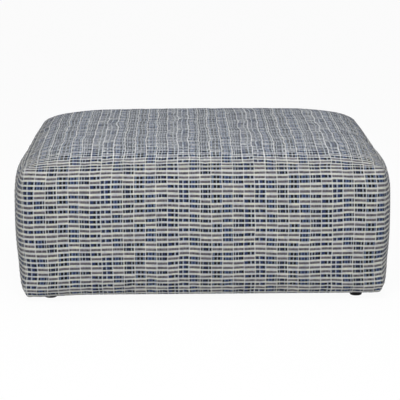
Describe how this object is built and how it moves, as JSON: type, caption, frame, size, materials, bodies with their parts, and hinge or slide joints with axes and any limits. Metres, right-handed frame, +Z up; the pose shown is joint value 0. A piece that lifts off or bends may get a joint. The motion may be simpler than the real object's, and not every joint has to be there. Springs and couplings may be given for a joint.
{
  "type": "outdoor ottoman footstool",
  "caption": "Low, nearly square upholstered outdoor ottoman: crowned seat and full, bowed sides in a striped dash weave over a foam-padded wooden box frame on short round glides.",
  "frame": {"origin": "on the ground, below the middle of the ottoman", "axes": "+X to the right along the wider side, -Y towards the front, +Z up"},
  "size_m": [1.1682, 1.1262, 0.457],
  "materials": {
    "outdoor_weave": "matte",
    "quick_dry_foam": "matte",
    "fibre_wrap": "matte",
    "plywood": "matte",
    "timber": "matte",
    "dust_sheet": "matte",
    "glide_plastic": "satin",
    "screw_steel": "satin"
  },
  "bodies": {
    "root": {"cover_top": "outdoor_weave", "cover_front": "outdoor_weave", "cover_right": "outdoor_weave", "cover_back": "outdoor_weave", "cover_left": "outdoor_weave", "fibre_wrap": "fibre_wrap", "seat_foam": "quick_dry_foam", "side_pad_front": "quick_dry_foam", "side_pad_right": "quick_dry_foam", "side_pad_back": "quick_dry_foam", "side_pad_left": "quick_dry_foam", "side_board_front": "plywood", "side_board_right": "plywood", "side_board_back": "plywood", "side_board_left": "plywood", "seat_deck": "plywood", "top_rail_front": "timber", "top_rail_right": "timber", "top_rail_back": "timber", "top_rail_left": "timber", "top_cross_rail": "timber", "base_rail_front": "timber", "base_rail_right": "timber", "base_rail_back": "timber", "base_rail_left": "timber", "base_cross_rail": "timber", "corner_post_front_left": "timber", "corner_post_front_right": "timber", "corner_post_back_right": "timber", "corner_post_back_left": "timber", "corner_block_front_left": "timber", "corner_block_front_right": "timber", "corner_block_back_right": "timber", "corner_block_back_left": "timber", "dust_sheet": "dust_sheet", "glide_front_left": "glide_plastic", "glide_front_right": "glide_plastic", "glide_back_right": "glide_plastic", "glide_back_left": "glide_plastic", "glide_screw_front_left": "screw_steel", "glide_screw_front_right": "screw_steel", "glide_screw_back_right": "screw_steel", "glide_screw_back_left": "screw_steel"}
  },
  "joints": []
}
